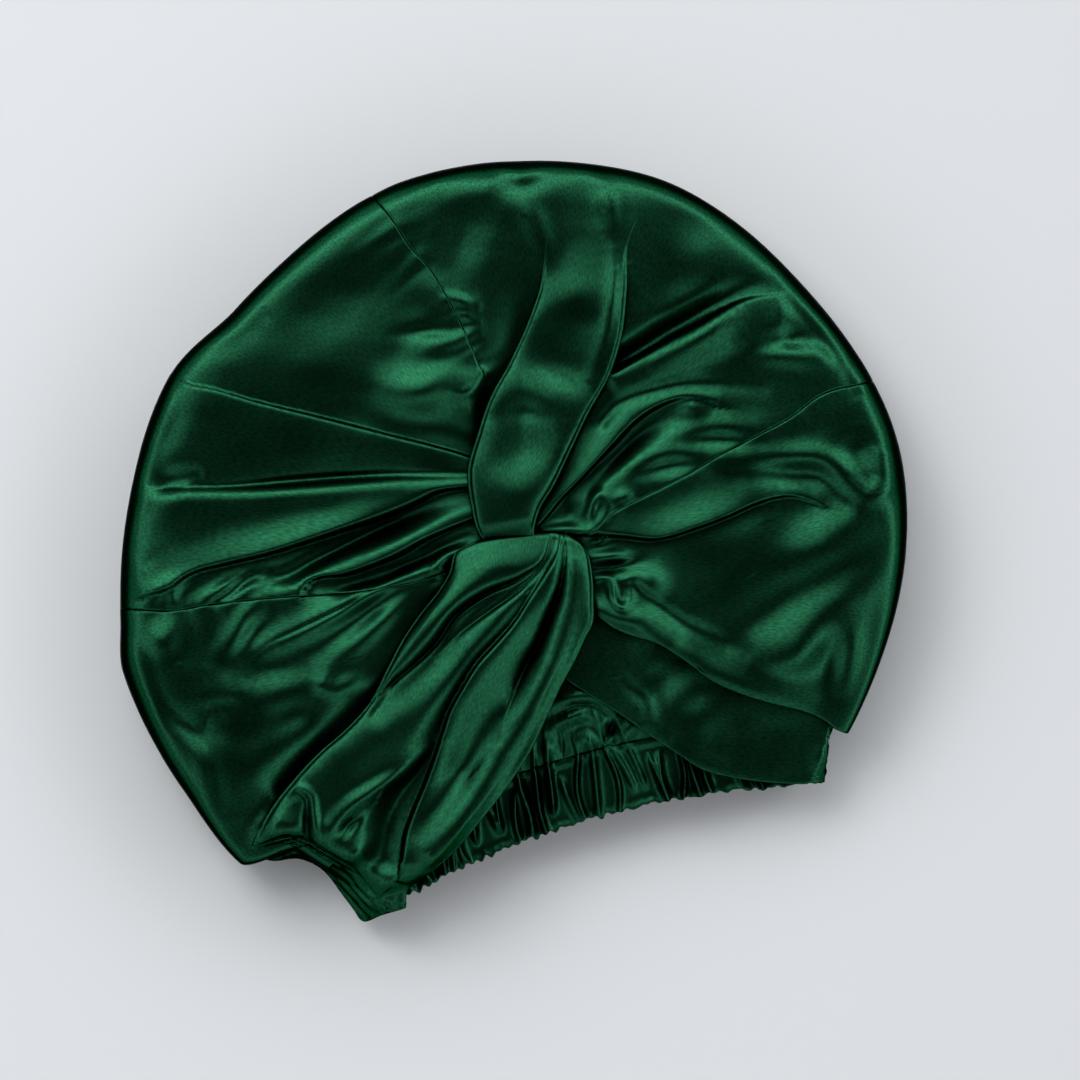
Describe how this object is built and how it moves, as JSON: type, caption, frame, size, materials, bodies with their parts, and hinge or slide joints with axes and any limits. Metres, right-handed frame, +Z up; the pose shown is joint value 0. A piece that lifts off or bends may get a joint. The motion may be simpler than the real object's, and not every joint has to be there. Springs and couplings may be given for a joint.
{
  "type": "sleep bonnet",
  "caption": "Twist-front satin sleep bonnet lying on its back, with a round crown, a pleated sash over the knot and a ruffled elastic mouth that opens to the hollow for the head.",
  "frame": {"origin": "middle of the bonnet's box, on the surface that it lies on", "axes": "+Z up out of the front with the knot, -Y out of the elastic mouth, +X to the right seen from above"},
  "size_m": [0.3392, 0.2974, 0.0583],
  "materials": {
    "satin": "satin",
    "inner_satin": "satin",
    "casing_satin": "satin"
  },
  "bodies": {
    "root": {"back_panel": "satin", "left_upper_panel": "satin", "left_lower_panel": "satin", "top_right_panel": "satin", "right_lower_panel": "satin", "under_flap": "satin", "front_gather": "inner_satin", "upper_twist": "satin", "lower_sash": "satin", "elastic_band": "casing_satin"}
  },
  "joints": []
}
